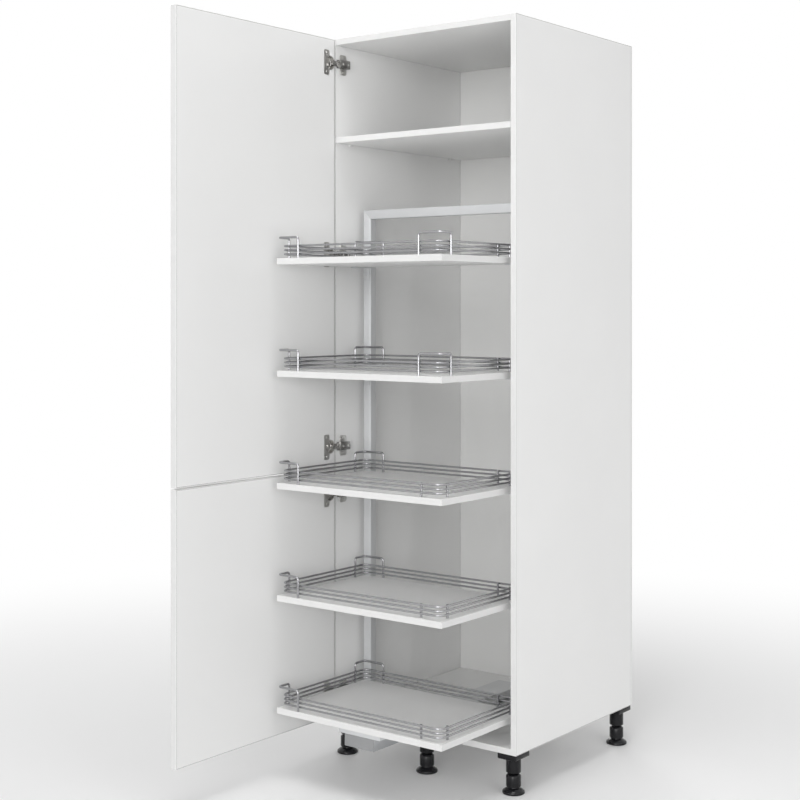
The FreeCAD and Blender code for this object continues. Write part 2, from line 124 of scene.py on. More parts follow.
def melamineFinish(name, look):
    coords, dress = newFinish(name)
    cloud = coords.noise(look["cloudScale"])
    pearl = coords.noise(look["pearlScale"], pearlLook["detail"], pearlLook["rough"])
    share = pearlLook["cloudShare"]
    color = (cloud * share + pearl * (1 - share)).tint(look)
    roughness = look["roughness"] + pearl * pearlLook["roughnessSpread"]
    return dress(color, roughness, pearl.bump(look["pearlBump"], pearlLook["depth"]))


melamine = melamineFinish("whiteMelamine", {
    "dark": (0.81, 0.81, 0.805), "light": (0.87, 0.87, 0.865), "cloudScale": 4.0, "pearlScale": 900.0,
    "pearlBump": 0.12, "roughness": 0.42,
})
# Edge bands: the same white board, painted darker than the faces as shade on the lamp-lit front edges
shadedEdging = melamineFinish("shadedWhiteEdging", {
    "dark": (0.7, 0.7, 0.695), "light": (0.76, 0.76, 0.755), "cloudScale": 11.0, "pearlScale": 500.0,
    "pearlBump": 0.06, "roughness": 0.34,
})
glue = melamineFinish("glueLine", {
    "dark": (0.16, 0.16, 0.15), "light": (0.24, 0.235, 0.22), "cloudScale": 40.0, "pearlScale": 700.0,
    "pearlBump": 0.1, "roughness": 0.6,
})
hardboard = melamineFinish("whiteHardboard", {
    "dark": (0.79, 0.79, 0.78), "light": (0.85, 0.85, 0.84), "cloudScale": 3.0, "pearlScale": 650.0,
    "pearlBump": 0.2, "roughness": 0.5,
})


def lacquerFinish(name, look):  # sprayed door front, smoother, with a soft orange peel and wiped patches
    coords, dress = newFinish(name, coat=look["coat"], coatRoughness=look["coatRoughness"])
    cloud = coords.noise(look["cloudScale"])
    peel = coords.noise(look["peelScale"], look["peelDetail"])
    rub = coords.noise(look["rubScale"], look["rubDetail"], look["rubRough"], look["rubStretch"])
    roughness = look["roughness"] + rub * look["rubSpread"]
    return dress(cloud.tint(look), roughness, peel.bump(look["peelBump"], look["peelDepth"]))


lacquer = lacquerFinish("whiteLacquer", {
    "dark": (0.79, 0.79, 0.785), "light": (0.83, 0.83, 0.825), "cloudScale": 3.0, "roughness": 0.3,
    "coat": 0.25, "coatRoughness": 0.22, "peelScale": 260.0, "peelDetail": 1.0, "peelBump": 0.05,
    "peelDepth": 0.0006, "rubScale": 9.0, "rubDetail": 4.0, "rubRough": 0.65, "rubStretch": (1, 0.4, 1),
    "rubSpread": 0.12,
})

# Bright plating, with wiped-over haze and a drawn grain
platingLook = {"hazeDetail": 4.0, "hazeRough": 0.6, "hazeShare": 0.6, "grainDetail": 2.0, "grainRough": 0.5,
               "grainSpread": 0.04, "depth": 0.0002}


def platedFinish(name, look):
    coords, dress = newFinish(name, metallic=1.0)
    haze = coords.noise(look["hazeScale"], platingLook["hazeDetail"], platingLook["hazeRough"])
    drawn = coords.noise(look["grainScale"], platingLook["grainDetail"], platingLook["grainRough"],
                         look["grainStretch"])
    share = platingLook["hazeShare"]
    color = (haze * share + drawn * (1 - share)).tint(look)
    roughness = look["roughness"] + haze * look["hazeRoughness"] + drawn * platingLook["grainSpread"]
    return dress(color, roughness, drawn.bump(look["grainBump"], platingLook["depth"]))


chrome = platedFinish("chromeWire", {
    "dark": (0.3, 0.3, 0.31), "light": (0.46, 0.46, 0.475), "hazeScale": 26.0, "grainScale": 420.0,
    "grainStretch": (1, 1, 1), "grainBump": 0.04, "roughness": 0.07, "hazeRoughness": 0.12,
})
zinc = platedFinish("zincSteel", {
    "dark": (0.62, 0.63, 0.64), "light": (0.76, 0.765, 0.775), "hazeScale": 14.0, "grainScale": 700.0,
    "grainStretch": (1, 0.02, 1), "grainBump": 0.12, "roughness": 0.34, "hazeRoughness": 0.16,
})
dullZinc = platedFinish("dullZinc", {
    "dark": (0.4, 0.41, 0.425), "light": (0.53, 0.538, 0.55), "hazeScale": 18.0, "grainScale": 700.0,
    "grainStretch": (1, 0.02, 1), "grainBump": 0.12, "roughness": 0.38, "hazeRoughness": 0.16,
})
nickel = platedFinish("nickelPlate", {
    "dark": (0.5, 0.495, 0.48), "light": (0.64, 0.63, 0.61), "hazeScale": 60.0, "grainScale": 900.0,
    "grainStretch": (1, 1, 0.2), "grainBump": 0.05, "roughness": 0.2, "hazeRoughness": 0.14,
})
# Hinge arms: the plates' nickel painted darker, as shade that sets them off the plates
shadedNickel = platedFinish("shadedNickel", {
    "dark": (0.29, 0.285, 0.28), "light": (0.42, 0.415, 0.4), "hazeScale": 45.0, "grainScale": 900.0,
    "grainStretch": (1, 0.2, 1), "grainBump": 0.05, "roughness": 0.18, "hazeRoughness": 0.12,
})


def powderFinish(name, look):  # powder coat: fine even pimples and metal flakes
    coords, dress = newFinish(name, metallic=look["metallic"])
    flakes = coords.node("ShaderNodeTexVoronoi", {"feature": "F1"}, {
        "Vector": coords, "Scale": look["flakeScale"]})
    pimple = coords.noise(look["pimpleScale"], look["pimpleDetail"])
    cloud = coords.noise(look["cloudScale"])
    share = look["cloudShare"]
    color = (cloud * share + flakes * (1 - share)).tint(look)
    roughness = look["roughness"] + pimple * look["pimpleSpread"]
    return dress(color, roughness, pimple.bump(look["pimpleBump"], look["pimpleDepth"]))


silver = powderFinish("silverPowder", {
    "dark": (0.56, 0.57, 0.58), "light": (0.7, 0.71, 0.72), "metallic": 0.3, "flakeScale": 1500.0,
    "cloudScale": 7.0, "cloudShare": 0.5, "pimpleScale": 800.0, "pimpleDetail": 2.0, "pimpleBump": 0.15,
    "pimpleDepth": 0.0004, "pimpleSpread": 0.12, "roughness": 0.36,
})

# Moulded plastic: spark-eroded grain, rubbed smoother in places
mouldLook = {"detail": 3.0, "rough": 0.7, "grainShare": 0.5, "wornScale": 22.0, "wornSpread": 0.14,
             "grainSpread": 0.06, "depth": 0.0005}


def mouldedFinish(name, look):
    coords, dress = newFinish(name, specular=look["specular"])
    grain = coords.noise(look["grainScale"], mouldLook["detail"], mouldLook["rough"])
    worn = coords.noise(mouldLook["wornScale"])
    share = mouldLook["grainShare"]
    color = (grain * share + worn * (1 - share)).tint(look)
    roughness = look["roughness"] + worn * mouldLook["wornSpread"] - grain * mouldLook["grainSpread"]
    return dress(color, roughness, grain.bump(look["grainBump"], mouldLook["depth"]))


greyPlastic = mouldedFinish("greyPlastic", {
    "dark": (0.24, 0.243, 0.248), "light": (0.32, 0.324, 0.33), "grainScale": 800.0, "grainBump": 0.15,
    "roughness": 0.42, "specular": 0.5,
})
blackPlastic = mouldedFinish("blackPlastic", {
    "dark": (0.005, 0.005, 0.006), "light": (0.014, 0.014, 0.016), "grainScale": 700.0, "grainBump": 0.05,
    "roughness": 0.16, "specular": 0.28,
})
whitePlastic = mouldedFinish("whitePlastic", {
    "dark": (0.7, 0.7, 0.69), "light": (0.79, 0.79, 0.78), "grainScale": 900.0, "grainBump": 0.1,
    "roughness": 0.36, "specular": 0.5,
})


def beechFinish(name, look):  # dowels: straight grain along X with short dark flecks
    coords, dress = newFinish(name)
    rings = coords.noise(look["ringScale"], look["ringDetail"], look["ringRough"], look["ringStretch"])
    flecks = coords.noise(look["fleckScale"], look["fleckDetail"], look["fleckRough"], look["fleckStretch"])
    share = look["ringShare"]
    color = (rings * share + flecks * (1 - share)).tint(look)
    roughness = look["roughness"] + flecks * look["fleckSpread"]
    return dress(color, roughness, flecks.bump(look["fleckBump"], look["fleckDepth"]))


beech = beechFinish("beechDowel", {
    "dark": (0.42, 0.28, 0.15), "light": (0.66, 0.48, 0.29), "roughness": 0.55, "ringScale": 500.0,
    "ringDetail": 4.0, "ringRough": 0.6, "ringStretch": (0.05, 1, 1), "ringShare": 0.7, "fleckScale": 900.0,
    "fleckDetail": 2.0, "fleckRough": 0.7, "fleckStretch": (0.12, 1, 1), "fleckSpread": 0.15,
    "fleckBump": 0.15, "fleckDepth": 0.0003,
})
print("finishes made:", len(bpy.data.materials))


def addPiece(name, mesh, body, replaced, materials=()):
    piece = bpy.data.objects.new(name, mesh)
    bpy.context.scene.collection.objects.link(piece)
    for material in materials:
        mesh.materials.append(material)
    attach(piece, body)
    if replaced:
        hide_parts(*replaced)


def meshFrom(name, shape, sharpAngle=None):
    mesh = bpy.data.meshes.new(name)
    shape.to_mesh(mesh)
    shape.free()
    if sharpAngle:
        mesh.shade_smooth()
        mesh.set_sharp_from_angle(angle=math.radians(sharpAngle))
    return mesh


def holderFor(mesh):
    holder = bpy.data.objects.new("holder", mesh)
    bpy.context.scene.collection.objects.link(holder)
    return holder


def evaluatedMesh(holder):  # what the modifiers make, as a plain mesh
    depsgraph = bpy.context.evaluated_depsgraph_get()
    mesh = bpy.data.meshes.new_from_object(holder.evaluated_get(depsgraph))
    old = holder.data
    bpy.data.objects.remove(holder)
    bpy.data.meshes.remove(old)
    return mesh


def stackLevels(node, gap=0.02):  # heights of a node's separate pieces, lowest first
    heights = sorted(vertex.co.z for vertex in nodes[node].data.vertices)
    groups = [[heights[0]]]
    for height in heights:
        if height - groups[-1][-1] > gap:
            groups.append([])
        groups[-1].append(height)
    return [(group[0] + group[-1]) / 2 for group in groups]


# Boards: slabs with edge bands, a glue line round each wide face and broken arrises; the bands carry painted
# shade
boardLook = {"arris": 0.0007, "arrisSteps": 2, "band": 0.0012, "glueLine": 0.0009}
faceSlot, bandSlot, glueSlot = 0, 1, 2


def boardShape(low, high, look):
    shape = bmesh.new()
    size = Matrix.Diagonal((*(high - low), 1))
    bmesh.ops.create_cube(shape, size=1.0, matrix=Matrix.Translation((low + high) / 2) @ size)
    bmesh.ops.bevel(shape, geom=shape.edges[:], offset=look["arris"], segments=look["arrisSteps"],
                    profile=0.5, affect="EDGES")
    wide = sorted(shape.faces, key=lambda face: face.calc_area())[-2:]
    for face in shape.faces:
        face.material_index = bandSlot
    for face in wide:
        bmesh.ops.inset_individual(shape, faces=[face], thickness=look["band"] - look["arris"])
        ring = bmesh.ops.inset_individual(shape, faces=[face], thickness=look["glueLine"])["faces"]
        for part in ring:
            part.material_index = glueSlot
        face.material_index = faceSlot
    return shape


def addBoard(node, body):
    low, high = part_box(node)
    mesh = meshFrom(node + "Board", boardShape(low, high, boardLook))
    addPiece(node + "_panel", mesh, body, [node], (melamine, shadedEdging, glue))


for node in ("left_side", "right_side", "top_panel", "bottom_panel", "shelf"):
    addBoard(node, "carcass")
trayNumbers = range(1, 6)
for number in trayNumbers:
    addBoard("tray_%d_board" % number, "pullout")
print("boards made")

# Hinge cups, and the doors with bores for them
doorNames = ("upper", "lower")
hingeLevels = {door: stackLevels(door + "_hinge_pins") for door in doorNames}
doorLook = {"arris": 0.0015, "arrisSteps": 2, "band": 0.0022, "glueLine": 0.0009, "boreRadius": 0.0175,
            "boreDepth": 0.0135, "boreSides": 48}
cupLook = {"fromEdge": 0.021, "rim": 0.0195, "rimSteps": 24, "inner": 0.0168, "outer": 0.0174,
           "depth": 0.0134, "floor": 0.001, "ease": 0.001, "flange": 0.0008, "flangeGap": 0.0003,
           "wingOffset": 0.014, "wingWidth": 0.022, "wingHeight": 0.068, "corner": 0.005, "sharpAngle": 35}


def cupPlace(door, level):  # local x runs away from the hinged edge, y down, z out of the door's inner face
    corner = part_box(door + "_door")[1]
    turn = Matrix((-back, -up, right)).transposed().to_4x4()
    return Matrix.Translation((corner.x, corner.y - cupLook["fromEdge"], level)) @ turn


def addDoor(door, look):
    node = door + "_door"
    low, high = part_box(node)
    holder = holderFor(meshFrom(node + "Slab", boardShape(low, high, look)))
    cutter = bmesh.new()
    for level in hingeLevels[door]:
        bmesh.ops.create_cone(cutter, cap_ends=True, segments=look["boreSides"], radius1=look["boreRadius"],
                              radius2=look["boreRadius"], depth=2 * look["boreDepth"],
                              matrix=cupPlace(door, level))
    drill = holderFor(meshFrom("drill", cutter))
    cut = holder.modifiers.new("bores", "BOOLEAN")
    cut.operation = "DIFFERENCE"
    cut.solver = "EXACT"
    cut.object = drill
    for material in (lacquer, shadedEdging, glue):
        holder.data.materials.append(material)
    mesh = evaluatedMesh(holder)
    bpy.data.objects.remove(drill)
    addPiece(node + "_front", mesh, node, [node])


for door in doorNames:
    addDoor(door, doorLook)
print("doors made")


def circlePoints(radius, count):
    turns = [2 * math.pi * step / count for step in range(count)]
    return [(radius * math.cos(turn), radius * math.sin(turn)) for turn in turns]


def lathe(shape, profile, place, segments=48):  # spins radius and height pairs about local z
    rings = []
    for radius, height in profile:
        points = circlePoints(radius, segments) if radius else [(0, 0)]
        rings.append([shape.verts.new(place @ Vector((x, y, height))) for x, y in points])
    for near, far in zip(rings, rings[1:]):
        for step in range(segments):
            after = (step + 1) % segments
            corners = [near[step % len(near)], near[after % len(near)],
                       far[after % len(far)], far[step % len(far)]]
            shape.faces.new(list(dict.fromkeys(corners)))  # a triangle where one end is a point


def roundCorner(centre, radius, start, end, steps=6):
    turns = [math.radians(start + (end - start) * step / steps) for step in range(steps + 1)]
    return [(centre[0] + radius * math.cos(turn), centre[1] + radius * math.sin(turn)) for turn in turns]


def plateCorners(x, y, farX, farY, corner):  # the four round corners of a plate, one after the other
    centres = ((farX - corner, y + corner), (farX - corner, farY - corner),
               (x + corner, farY - corner), (x + corner, y + corner))
    return [roundCorner(centre, corner, 90 * turn - 90, 90 * turn) for turn, centre in enumerate(centres)]


def cupOutline(look):  # the flange: a wing above and below, and the rim standing out towards the door's edge
    nearX = look["wingOffset"] - look["wingWidth"] / 2
    farX = nearX + look["wingWidth"]
    top = look["wingHeight"] / 2
    farLow, farHigh, nearHigh, nearLow = plateCorners(nearX, -top, farX, top, look["corner"])
    start = math.degrees(math.acos(nearX / look["rim"]))
    rim = roundCorner((0, 0), look["rim"], start, 360 - start, look["rimSteps"])
    return farLow + farHigh + nearHigh + rim + nearLow


def addRing(shape, outline, holeRadius, low, high, place, segments=48):  # a plate with a round hole
    layers = []
    for height in (low, high):
        rings = [[shape.verts.new(place @ Vector((x, y, height))) for x, y in points]
                 for points in (outline, circlePoints(holeRadius, segments))]
        edges = [shape.edges.new((ring[index - 1], ring[index]))
                 for ring in rings for index in range(len(ring))]
        bmesh.ops.triangle_fill(shape, use_beauty=True, use_dissolve=False, edges=edges)
        layers.append(rings)
    for lower, upper in zip(*layers):
        for index in range(len(lower)):
            shape.faces.new((lower[index - 1], lower[index], upper[index], upper[index - 1]))


def addCups(door, look):
    shape = bmesh.new()
    inner, outer, ease = look["inner"], look["outer"], look["ease"]
    bottom = -look["depth"]
    floor = look["floor"] + bottom
    for level in hingeLevels[door]:
        place = cupPlace(door, level)
        addRing(shape, cupOutline(look), inner + look["flangeGap"], 0.0, look["flange"], place)
        lathe(shape, [(0, bottom), (outer - ease, bottom), (outer, bottom + ease), (outer, 0), (inner, 0),
                      (inner, floor + ease), (inner - ease, floor), (0, floor)], place)
    bmesh.ops.recalc_face_normals(shape, faces=shape.faces[:])
    mesh = meshFrom(door + "Cups", shape, look["sharpAngle"])
    addPiece(door + "_cups", mesh, door + "_door", [door + "_hinge_cups"], (nickel,))


for door in doorNames:
    addCups(door, cupLook)
print("hinge cups made")

# Bent and folded metal: the solids with their sharp edges broken
softLook = {"steps": 2, "sharpAngle": 40, "flatAngle": 1, "merge": 0.000005, "sliver": 0.000004}


def softened(node, arris, look):
    shape = bmesh.new()
    shape.from_mesh(nodes[node].data)
    bmesh.ops.remove_doubles(shape, verts=shape.verts[:], dist=look["merge"])
    bmesh.ops.dissolve_limit(shape, angle_limit=math.radians(look["flatAngle"]), verts=shape.verts[:],
                             edges=shape.edges[:])
    holder = holderFor(meshFrom(node + "Soft", shape))
    ease = holder.modifiers.new("arris", "BEVEL")
    ease.width = arris
    ease.segments = look["steps"]
    ease.limit_method = "ANGLE"
    ease.angle_limit = math.radians(look["sharpAngle"])
    made = evaluatedMesh(holder)
    shape = bmesh.new()
    shape.from_mesh(made)
    bmesh.ops.dissolve_degenerate(shape, dist=look["sliver"], edges=shape.edges[:])
    shape.to_mesh(made)
    shape.free()
    made.shade_smooth()
    made.set_sharp_from_angle(angle=math.radians(look["sharpAngle"]))
    return made


metalPieces = {  # body, slot, finish and width of the broken edge
    "hinge_plates": ("carcass", "hinge_nickel", nickel, 0.0006),
    "hinge_arms": ("carcass", "hinge_nickel", shadedNickel, 0.0005),
    "runner_fixed_rail": ("carcass", "runner_steel", zinc, 0.0006),
    "runner_middle_rail": ("runner_middle", "runner_steel", zinc, 0.0006),
    "runner_carriage": ("pullout", "runner_steel", dullZinc, 0.0006),
    "runner_front_cap": ("pullout", "cap_plastic", greyPlastic, 0.0008),
    "carrier_plate": ("pullout", "silver_paint", silver, 0.0006),
    "frame_post_left": ("pullout", "silver_paint", silver, 0.0003),
    "frame_post_right": ("pullout", "silver_paint", silver, 0.0003),
    "frame_top_bar": ("pullout", "silver_paint", silver, 0.0003),
    "frame_bottom_bar": ("pullout", "silver_paint", silver, 0.0003),
    "tray_brackets": ("pullout", "silver_paint", silver, 0.0008),
}
for node, (body, slotName, finish, arris) in metalPieces.items():
    addPiece(node + "_soft", softened(node, arris, softLook), body, [node], (finish,))
print("metal pieces made")


def newTree(name, inputs):  # a node tree with named inputs, and the identifiers to set them by
    tree = bpy.data.node_groups.new(name, "GeometryNodeTree")
    tree.interface.new_socket("Geometry", in_out="INPUT", socket_type="NodeSocketGeometry")
    tree.interface.new_socket("Geometry", in_out="OUTPUT", socket_type="NodeSocketGeometry")
    names = {}
    for key, kind in inputs.items():
        socket = tree.interface.new_socket(key, in_out="INPUT", socket_type="NodeSocket" + kind)
        names[key] = socket.identifier
    source = tree.nodes.new("NodeGroupInput")
    target = tree.nodes.new("NodeGroupOutput")

    def put(kind, settings=None, **links):  # one node; each link is a value or another node's output
        made = tree.nodes.new(kind)
        for key, value in (settings or {}).items():
            setattr(made, key, value)
        for key, value in links.items():
            socket = made.inputs[key.replace("_", " ")]
            if isinstance(value, bpy.types.NodeSocket):
                tree.links.new(value, socket)
            else:
                socket.default_value = value
        return made.outputs[0]

    def end(geometry):
        whole = put("GeometryNodeRealizeInstances", Geometry=geometry)
        painted = put("GeometryNodeSetMaterial", Geometry=whole, Material=source.outputs["Material"])
        tree.links.new(painted, target.inputs[0])

    return tree, names, source.outputs, put, end


def times(put, value, factor):
    made = put("ShaderNodeMath", {"operation": "MULTIPLY"}, Value=value)
    made.node.inputs[1].default_value = factor
    return made


def treeMesh(mesh, tree, names, settings):  # what a node tree makes from a mesh
    holder = holderFor(mesh)
    modifier = holder.modifiers.new("tree", "NODES")
    modifier.node_group = tree
    for key, value in settings.items():
        modifier[names[key]] = value
    return evaluatedMesh(holder)


def wireTree():  # rods along the edges of a mesh, bent at its corners and repeated upwards
    tree, names, given, put, end = newTree("bentWire", {
        "Diameter": "Float", "Bend Steps": "Int", "Sides": "Int", "Levels": "Int", "Pitch": "Vector",
        "Material": "Material"})
    bend = put("GeometryNodeInputNamedAttribute", {"data_type": "FLOAT"}, Name="bendRadius")
    path = put("GeometryNodeMeshToCurve", Mesh=given["Geometry"])
    eased = put("GeometryNodeFilletCurve", {"mode": "POLY"}, Curve=path, Count=given["Bend Steps"],
                Radius=bend, Limit_Radius=True)
    circle = put("GeometryNodeCurvePrimitiveCircle", {"mode": "RADIUS"}, Resolution=given["Sides"],
                 Radius=times(put, given["Diameter"], 0.5))
    pipe = put("GeometryNodeCurveToMesh", Curve=eased, Profile_Curve=circle, Fill_Caps=True)
    smooth = put("GeometryNodeSetShadeSmooth", Geometry=pipe)
    levels = put("GeometryNodeMeshLine", {"mode": "OFFSET"}, Count=given["Levels"], Offset=given["Pitch"])
    end(put("GeometryNodeInstanceOnPoints", Points=levels, Instance=smooth))
    return tree, names


bentTree, bentNames = wireTree()


def bentWires(name, paths, closed, settings, sharpAngle=50):  # a path is a list of points and bend radii
    points, edges, radii = [], [], []
    for path in paths:
        first = len(points)
        points += [point for point, radius in path]
        radii += [radius for point, radius in path]
        edges += [(first + step, first + step + 1) for step in range(len(path) - 1)]
        if closed:
            edges.append((len(points) - 1, first))
    mesh = bpy.data.meshes.new(name + "Path")
    mesh.from_pydata(points, edges, [])
    bends = mesh.attributes.new("bendRadius", "FLOAT", "POINT")
    for index, radius in enumerate(radii):
        bends.data[index].value = radius
    made = treeMesh(mesh, bentTree, bentNames, settings)
    made.set_sharp_from_angle(angle=math.radians(sharpAngle))
    return made


# Rail wires: closed loops, one above the other
railLook = {"inset": 0.00884, "corner": 0.02, "pitch": 0.0105,
            "wire": {"Diameter": 0.005, "Bend Steps": 8, "Sides": 14, "Levels": 3, "Material": chrome}}


def addRails(number, look):
    low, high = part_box("tray_%d_board" % number)
    inset, pitch = look["inset"], look["pitch"]
    leftX, rightX, frontY, backY = low.x + inset, high.x - inset, low.y + inset, high.y - inset
    corners = ((leftX, frontY), (rightX, frontY), (rightX, backY), (leftX, backY))
    loop = [((x, y, high.z + pitch), look["corner"]) for x, y in corners]
    mesh = bentWires("rails", [loop], True, {**look["wire"], "Pitch": (0.0, 0.0, pitch)})
    node = "tray_%d_rails" % number
    addPiece(node + "_wire", mesh, "pullout", [node])


# Corner guards, and two short posts inside the wires at each corner without one
guardLook = {"inset": 0.0035, "corner": 0.009, "bend": 0.007, "height": 0.056, "across": 0.07, "along": 0.044,
             "rightGuards": (4, 5), "postInset": 0.01418, "postHeight": 0.034,
             "wire": {"Diameter": 0.006, "Bend Steps": 7, "Sides": 16, "Levels": 1, "Material": chrome}}


def addGuards(number, look):
    low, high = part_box("tray_%d_board" % number)
    foot, postTop = high.z, high.z + look["postHeight"]
    bar = high.z + look["height"] - look["wire"]["Diameter"] / 2
    bend, corner = look["bend"], look["corner"]
    rods = []
    for sideX, edgeX in ((1, low.x), (-1, high.x)):
        for sideY, edgeY in ((1, low.y), (-1, high.y)):
            guarded = sideX > 0 or sideY > 0 and number in look["rightGuards"]
            inset = look["inset"] if guarded else look["postInset"]
            x, y = edgeX + sideX * inset, edgeY + sideY * inset
            legX, legY = edgeX + sideX * look["across"], edgeY + sideY * look["along"]
            if guarded:
                rods.append([((legX, y, foot), 0), ((legX, y, bar), bend), ((x, y, bar), corner),
                             ((x, legY, bar), bend), ((x, legY, foot), 0)])
            else:
                rods += [[((*spot, foot), 0), ((*spot, postTop), 0)] for spot in ((legX, y), (x, legY))]
    mesh = bentWires("guards", rods, False, look["wire"])
    node = "tray_%d_guards" % number
    addPiece(node + "_wire", mesh, "pullout", [node])


for number in trayNumbers:
    addRails(number, railLook)
    addGuards(number, guardLook)
print("wires bent")

# Feet: turned radius and height pairs in millimetres from the floor up, then a spindle into the socket
footNames = ("left_front", "middle_front", "right_front", "left_back", "right_back")
footLook = {
    "base": ((0, 0.6), (22.5, 0.6), (24, 0), (26.5, 0), (27.9, 0.8), (28.5, 2.4), (28.3, 5.6), (27.3, 7.2)),
    "neck": ((18.5, 13.2), (15.6, 14.8), (15, 15.6), (15, 17.8)),
    "sleeve": ((18.2, 17.8), (19, 18.6), (19, 43.6), (18.4, 45.2), (14.8, 48.4), (13.6, 49)),
    "spindle": 7, "sharpAngle": 38,
}


def addFoot(name, look):
    node = "foot_" + name
    low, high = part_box(node)
    middle = (low + high) / 2
    turned = look["base"] + look["neck"] + look["sleeve"]
    profile = [(radius * mm, height * mm) for radius, height in turned]
    spindle = look["spindle"] * mm
    profile += [(spindle, profile[-1][1]), (spindle, high.z), (0, high.z)]
    shape = bmesh.new()
    lathe(shape, profile, Matrix.Translation((middle.x, middle.y, 0)))
    bmesh.ops.recalc_face_normals(shape, faces=shape.faces[:])
    mesh = meshFrom("foot", shape, look["sharpAngle"])
    addPiece(node + "_turned", mesh, node, [node], (blackPlastic,))


# Foot sockets: a corner plate with a bored sleeve under it
socketLook = {"plateWidth": 0.054, "plateDepth": 0.07, "plateHeight": 0.014, "corner": 0.005, "sleeve": 0.019,
              "sleeveHeight": 0.038, "bore": 0.0073, "boreDepth": 0.0265, "ease": 0.001, "sharpAngle": 38}


def addSlab(shape, outline, low, high, ease):  # a plate from an outline, with its upper and lower edges eased
    centreX = sum(x for x, y in outline) / len(outline)
    centreY = sum(y for x, y in outline) / len(outline)
    reach = max(abs(outline[0][0] - centreX), abs(outline[0][1] - centreY))

    def ring(shrink, height):
        scale = 1 - shrink / reach
        return [shape.verts.new((centreX + (x - centreX) * scale, centreY + (y - centreY) * scale, height))
                for x, y in outline]

    rings = [ring(ease, low), ring(0, low + ease), ring(0, high - ease / 2), ring(ease / 2, high)]
    for near, far in zip(rings, rings[1:]):
        for index in range(len(near)):
            shape.faces.new((near[index - 1], near[index], far[index], far[index - 1]))
    shape.faces.new(rings[0])
    shape.faces.new(rings[-1])


def addSockets(look):
    carcassLow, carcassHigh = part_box("back_panel")
    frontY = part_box("bottom_panel")[0].y
    width, depth, ease = look["plateWidth"], look["plateDepth"], look["ease"]
    bore, sleeve = look["bore"], look["sleeve"]
    top = carcassLow.z
    under = top - look["plateHeight"]
    bottom = under - look["sleeveHeight"]
    boreTop = bottom + look["boreDepth"]
    shape = bmesh.new()
    for name in footNames:
        low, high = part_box("foot_" + name)
        middle = (low + high) / 2
        x = min(max(middle.x - width / 2, carcassLow.x), carcassHigh.x - width)  # kept under the carcass
        y = min(max(middle.y - depth / 2, frontY), carcassHigh.y - depth)
        corners = plateCorners(x, y, x + width, y + depth, look["corner"])
        addSlab(shape, [point for corner in corners for point in corner], under, top, ease)
        lathe(shape, [(0, boreTop), (bore, boreTop), (bore, bottom), (sleeve - ease, bottom),
                      (sleeve, bottom + ease), (sleeve, under), (0, under)],
              Matrix.Translation((middle.x, middle.y, 0)))
    bmesh.ops.recalc_face_normals(shape, faces=shape.faces[:])
    mesh = meshFrom("sockets", shape, look["sharpAngle"])
    addPiece("foot_sockets_moulded", mesh, "carcass", ["foot_sockets"], (blackPlastic,))


for name in footNames:
    addFoot(name, footLook)
addSockets(socketLook)
print("feet turned")

# Small cross-slotted screws, cut in millimetres and shrunk, so that the slots come out clean
screwLook = {"inputs": {"Radius": 3.2, "Height": 1.1, "Slot Width": 0.9, "Slot Depth": 0.7},
             "sides": 20, "topShare": 0.72, "slotShare": 1.1, "secondSlotDeeper": 1.1}


def screwTree(look):
    tree, names, given, put, end = newTree("crossScrew", {
        "Radius": "Float", "Height": "Float", "Slot Width": "Float", "Slot Depth": "Float",
        "Material": "Material"})

    def join(x, y, z):
        return put("ShaderNodeCombineXYZ", X=x, Y=y, Z=z)

    cut = put("GeometryNodeMeshCone", Vertices=look["sides"], Radius_Bottom=given["Radius"],
              Radius_Top=times(put, given["Radius"], look["topShare"]), Depth=given["Height"])
    length = times(put, given["Radius"], look["slotShare"])
    width = given["Slot Width"]
    for across in (True, False):  # each bar is half in the head
        depth = times(put, given["Slot Depth"], 2 if across else 2 * look["secondSlotDeeper"])
        size = join(length, width, depth) if across else join(width, length, depth)
        bar = put("GeometryNodeMeshCube", Size=size)
        slot = put("GeometryNodeTransform", Geometry=bar, Translation=join(0.0, 0.0, given["Height"]))
        cut = put("GeometryNodeMeshBoolean", {"operation": "DIFFERENCE"}, Mesh_1=cut)
        tree.links.new(slot, cut.node.inputs["Mesh 2"])
    facing = put("GeometryNodeInputNamedAttribute", {"data_type": "FLOAT_VECTOR"}, Name="facing")
    turn = put("FunctionNodeAlignRotationToVector", {"axis": "Z"}, Vector=facing)
    end(put("GeometryNodeInstanceOnPoints", Points=given["Geometry"], Instance=cut, Rotation=turn,
            Scale=(mm, mm, mm)))
    return tree, names


headTree, headNames = screwTree(screwLook)


def addScrews(name, body, places, finish):  # a place is a point and the way the head faces
    mesh = bpy.data.meshes.new(name + "Places")
    mesh.from_pydata([place for place, facing in places], [], [])
    facings = mesh.attributes.new("facing", "FLOAT_VECTOR", "POINT")
    for index, (place, facing) in enumerate(places):
        facings.data[index].vector = facing
    made = treeMesh(mesh, headTree, headNames, {**screwLook["inputs"], "Material": finish})
    addPiece(name, made, body, [])


hingeScrews = {"wing": 0.0255, "plate": 0.0205, "plateFace": 0.0025, "armFront": 0.015, "armBack": 0.036}
bracketScrews = {"fromSide": 0.01, "fromBack": 0.003, "below": 0.024}
for door in doorNames:
    places = []
    for level in hingeLevels[door]:
        for lift in (-hingeScrews["wing"], hingeScrews["wing"]):
            spot = cupPlace(door, level) @ Vector((cupLook["wingOffset"], lift, cupLook["flange"]))
            places.append((spot, right))
    addScrews(door + "_cup_screws", door + "_door", places, nickel)
plateLow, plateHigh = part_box("hinge_plates")
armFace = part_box("hinge_arms")[1].x
places = []
for level in hingeLevels["upper"] + hingeLevels["lower"]:
    plateX, plateY = plateLow.x + hingeScrews["plateFace"], (plateLow.y + plateHigh.y) / 2
    for lift in (-hingeScrews["plate"], hingeScrews["plate"]):
        places.append((Vector((plateX, plateY, level + lift)), right))
    for along in ("armFront", "armBack"):
        places.append((Vector((armFace, hingeScrews[along], level)), right))
addScrews("hinge_screws", "carcass", places, nickel)
places = []
